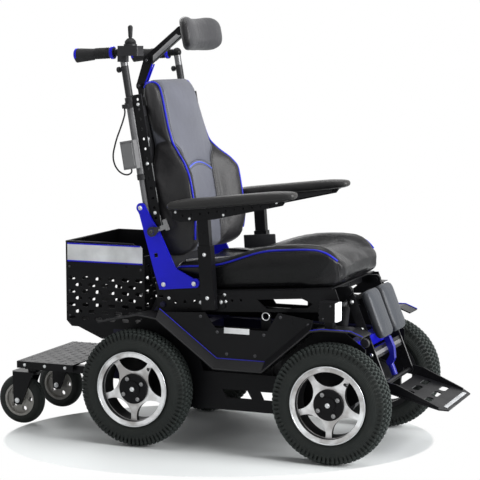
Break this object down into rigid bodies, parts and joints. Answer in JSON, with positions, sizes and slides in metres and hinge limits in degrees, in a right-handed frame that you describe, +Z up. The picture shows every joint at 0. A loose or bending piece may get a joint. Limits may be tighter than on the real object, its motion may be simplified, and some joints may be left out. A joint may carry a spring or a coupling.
{
  "type": "all terrain wheelchair",
  "caption": "Four-wheel-drive all terrain wheelchair with tilting seat, reclining back, elevating leg support, basket and attendant platform",
  "frame": {"origin": "centre of the overall length and width, on the floor", "axes": "x forward, y to the chair's left, z up"},
  "size_m": [1.4885, 0.609, 1.2985],
  "materials": {
    "blue_paint": "royal blue powder coat on steel",
    "satin_black": "satin black powder coat on steel",
    "black_plastic": "moulded black plastic",
    "bare_aluminium": "machined aluminium",
    "zinc_steel": "zinc plated steel",
    "lamp_white": "frosted white lamp cover",
    "tyre_black": "black tyre rubber",
    "black_hide": "padded black leatherette",
    "soft_rubber": "soft black rubber",
    "grey_plastic": "grey moulded plastic"
  },
  "bodies": {
    "chassis": {"chassis_frame": "blue_paint", "chassis_side_plates": "satin_black", "power_pack": "black_plastic", "gear_motors": "bare_aluminium", "side_fairing_right": "black_plastic", "side_fairing_left": "black_plastic", "headlight_housings": "black_plastic", "headlight_lenses": "lamp_white", "tie_down_eyes": "zinc_steel", "basket_panels": "satin_black", "basket_floor": "satin_black"},
    "wheel_front_right": {"front_right_tyre": "tyre_black", "front_right_rim": "bare_aluminium", "front_right_hub": "black_plastic"},
    "wheel_front_left": {"front_left_tyre": "tyre_black", "front_left_rim": "bare_aluminium", "front_left_hub": "black_plastic"},
    "wheel_rear_right": {"rear_right_tyre": "tyre_black", "rear_right_rim": "bare_aluminium", "rear_right_hub": "black_plastic"},
    "wheel_rear_left": {"rear_left_tyre": "tyre_black", "rear_left_rim": "bare_aluminium", "rear_left_hub": "black_plastic"},
    "platform": {"platform_deck": "satin_black", "platform_frame": "satin_black"},
    "fork_right": {"caster_fork_right": "satin_black"},
    "fork_left": {"caster_fork_left": "satin_black"},
    "caster_right": {"caster_tyre_right": "tyre_black", "caster_rim_right": "grey_plastic"},
    "caster_left": {"caster_tyre_left": "tyre_black", "caster_rim_left": "grey_plastic"},
    "seat": {"seat_side_plates": "satin_black", "seat_pan": "satin_black", "seat_cushion": "black_hide", "recline_brackets": "blue_paint"},
    "lever": {"recline_lever": "zinc_steel"},
    "tilt_cylinder_body": {"tilt_cylinder": "black_plastic"},
    "tilt_rod_body": {"tilt_rod": "zinc_steel"},
    "back": {"back_rails": "satin_black", "back_posts": "bare_aluminium", "back_shell": "satin_black", "back_cushion": "black_hide", "push_handles": "black_plastic", "grips": "soft_rubber", "control_box": "grey_plastic", "control_cable": "soft_rubber", "joystick_housing": "black_plastic"},
    "gimbal": {"joystick_gimbal": "bare_aluminium"},
    "stick": {"joystick_stick": "soft_rubber"},
    "head_arm": {"headrest_arm": "satin_black"},
    "head_pad": {"headrest_mount": "satin_black", "headrest_pad": "black_hide"},
    "arm_right": {"arm_frame_right": "satin_black", "arm_pad_right": "black_hide"},
    "arm_left": {"arm_frame_left": "satin_black", "arm_pad_left": "black_hide"},
    "leg": {"leg_frame": "satin_black", "leg_damper": "blue_paint", "calf_pads": "black_hide"},
    "foot": {"footplate": "satin_black"}
  },
  "joints": [
    {"name": "front_right_wheel_spin", "type": "hinge", "parent": "chassis", "child": "wheel_front_right", "pos_m": [0.43173, -0.2665, 0.179], "axis": [0, 1, 0], "continuous": true},
    {"name": "front_left_wheel_spin", "type": "hinge", "parent": "chassis", "child": "wheel_front_left", "pos_m": [0.43173, 0.2665, 0.179], "axis": [0, 1, 0], "continuous": true},
    {"name": "rear_right_wheel_spin", "type": "hinge", "parent": "chassis", "child": "wheel_rear_right", "pos_m": [-0.19027, -0.2665, 0.179], "axis": [0, 1, 0], "continuous": true},
    {"name": "rear_left_wheel_spin", "type": "hinge", "parent": "chassis", "child": "wheel_rear_left", "pos_m": [-0.19027, 0.2665, 0.179], "axis": [0, 1, 0], "continuous": true},
    {"name": "platform_float", "type": "hinge", "parent": "chassis", "child": "platform", "pos_m": [-0.30927, 0, 0.198], "axis": [0, 1, 0], "range_deg": [-6, 18]},
    {"name": "caster_right_swivel", "type": "hinge", "parent": "platform", "child": "fork_right", "pos_m": [-0.61927, -0.131, 0.17], "axis": [0, 0, 1], "continuous": true},
    {"name": "caster_right_spin", "type": "hinge", "parent": "fork_right", "child": "caster_right", "pos_m": [-0.66427, -0.131, 0.08], "axis": [0, 1, 0], "continuous": true},
    {"name": "caster_left_swivel", "type": "hinge", "parent": "platform", "child": "fork_left", "pos_m": [-0.61927, 0.131, 0.17], "axis": [0, 0, 1], "continuous": true},
    {"name": "caster_left_spin", "type": "hinge", "parent": "fork_left", "child": "caster_left", "pos_m": [-0.66427, 0.131, 0.08], "axis": [0, 1, 0], "continuous": true},
    {"name": "seat_tilt", "type": "hinge", "parent": "chassis", "child": "seat", "pos_m": [-0.12527, 0, 0.43], "axis": [0, -1, 0], "range_deg": [0, 20]},
    {"name": "tilt_cylinder_pivot", "type": "hinge", "parent": "chassis", "child": "tilt_cylinder_body", "pos_m": [0.35873, 0, 0.235], "axis": [0, -1, 0], "range_deg": [0, 8]},
    {"name": "tilt_rod_slide", "type": "slide", "parent": "tilt_cylinder_body", "child": "tilt_rod_body", "axis": [0.0949, 0, 0.9955], "range_m": [0, 0.1707]},
    {"name": "back_recline", "type": "hinge", "parent": "seat", "child": "back", "pos_m": [-0.15511, 0, 0.65043], "axis": [0, -1, 0], "range_deg": [0, 30]},
    {"name": "recline_lever_turn", "type": "hinge", "parent": "seat", "child": "lever", "pos_m": [-0.15511, -0.226, 0.65043], "axis": [0, -1, 0], "range_deg": [0, 25]},
    {"name": "headrest_height", "type": "slide", "parent": "back", "child": "head_arm", "axis": [-0.165, 0, 0.9863], "range_m": [0, 0.05]},
    {"name": "headrest_tilt", "type": "hinge", "parent": "head_arm", "child": "head_pad", "pos_m": [-0.15747, 0, 1.25229], "axis": [0, -1, 0], "range_deg": [-15, 15]},
    {"name": "joystick_fore_aft", "type": "hinge", "parent": "back", "child": "gimbal", "pos_m": [-0.22189, -0.228, 1.20704], "axis": [0, 1, 0], "range_deg": [-18, 18], "stiffness_Nm_per_rad": 0.15},
    {"name": "joystick_side", "type": "hinge", "parent": "gimbal", "child": "stick", "pos_m": [-0.22189, -0.228, 1.20704], "axis": [1, 0, 0], "range_deg": [-18, 18], "stiffness_Nm_per_rad": 0.15},
    {"name": "arm_right_height", "type": "slide", "parent": "seat", "child": "arm_right", "axis": [-0.0715, 0, 0.9974], "range_m": [0, 0.06]},
    {"name": "arm_left_height", "type": "slide", "parent": "seat", "child": "arm_left", "axis": [-0.0715, 0, 0.9974], "range_m": [0, 0.06]},
    {"name": "leg_elevate", "type": "hinge", "parent": "seat", "child": "leg", "pos_m": [0.43785, 0, 0.49042], "axis": [0, -1, 0], "range_deg": [0, 50]},
    {"name": "footplate_flip", "type": "hinge", "parent": "leg", "child": "foot", "pos_m": [0.54778, 0, 0.21558], "axis": [0, -1, 0], "range_deg": [0, 80]}
  ],
  "couplings": [
    {"joint": "tilt_cylinder_pivot", "follows": "seat_tilt", "ratio": 0.39991},
    {"joint": "tilt_rod_slide", "follows": "seat_tilt", "m_per_rad": 0.48898}
  ]
}
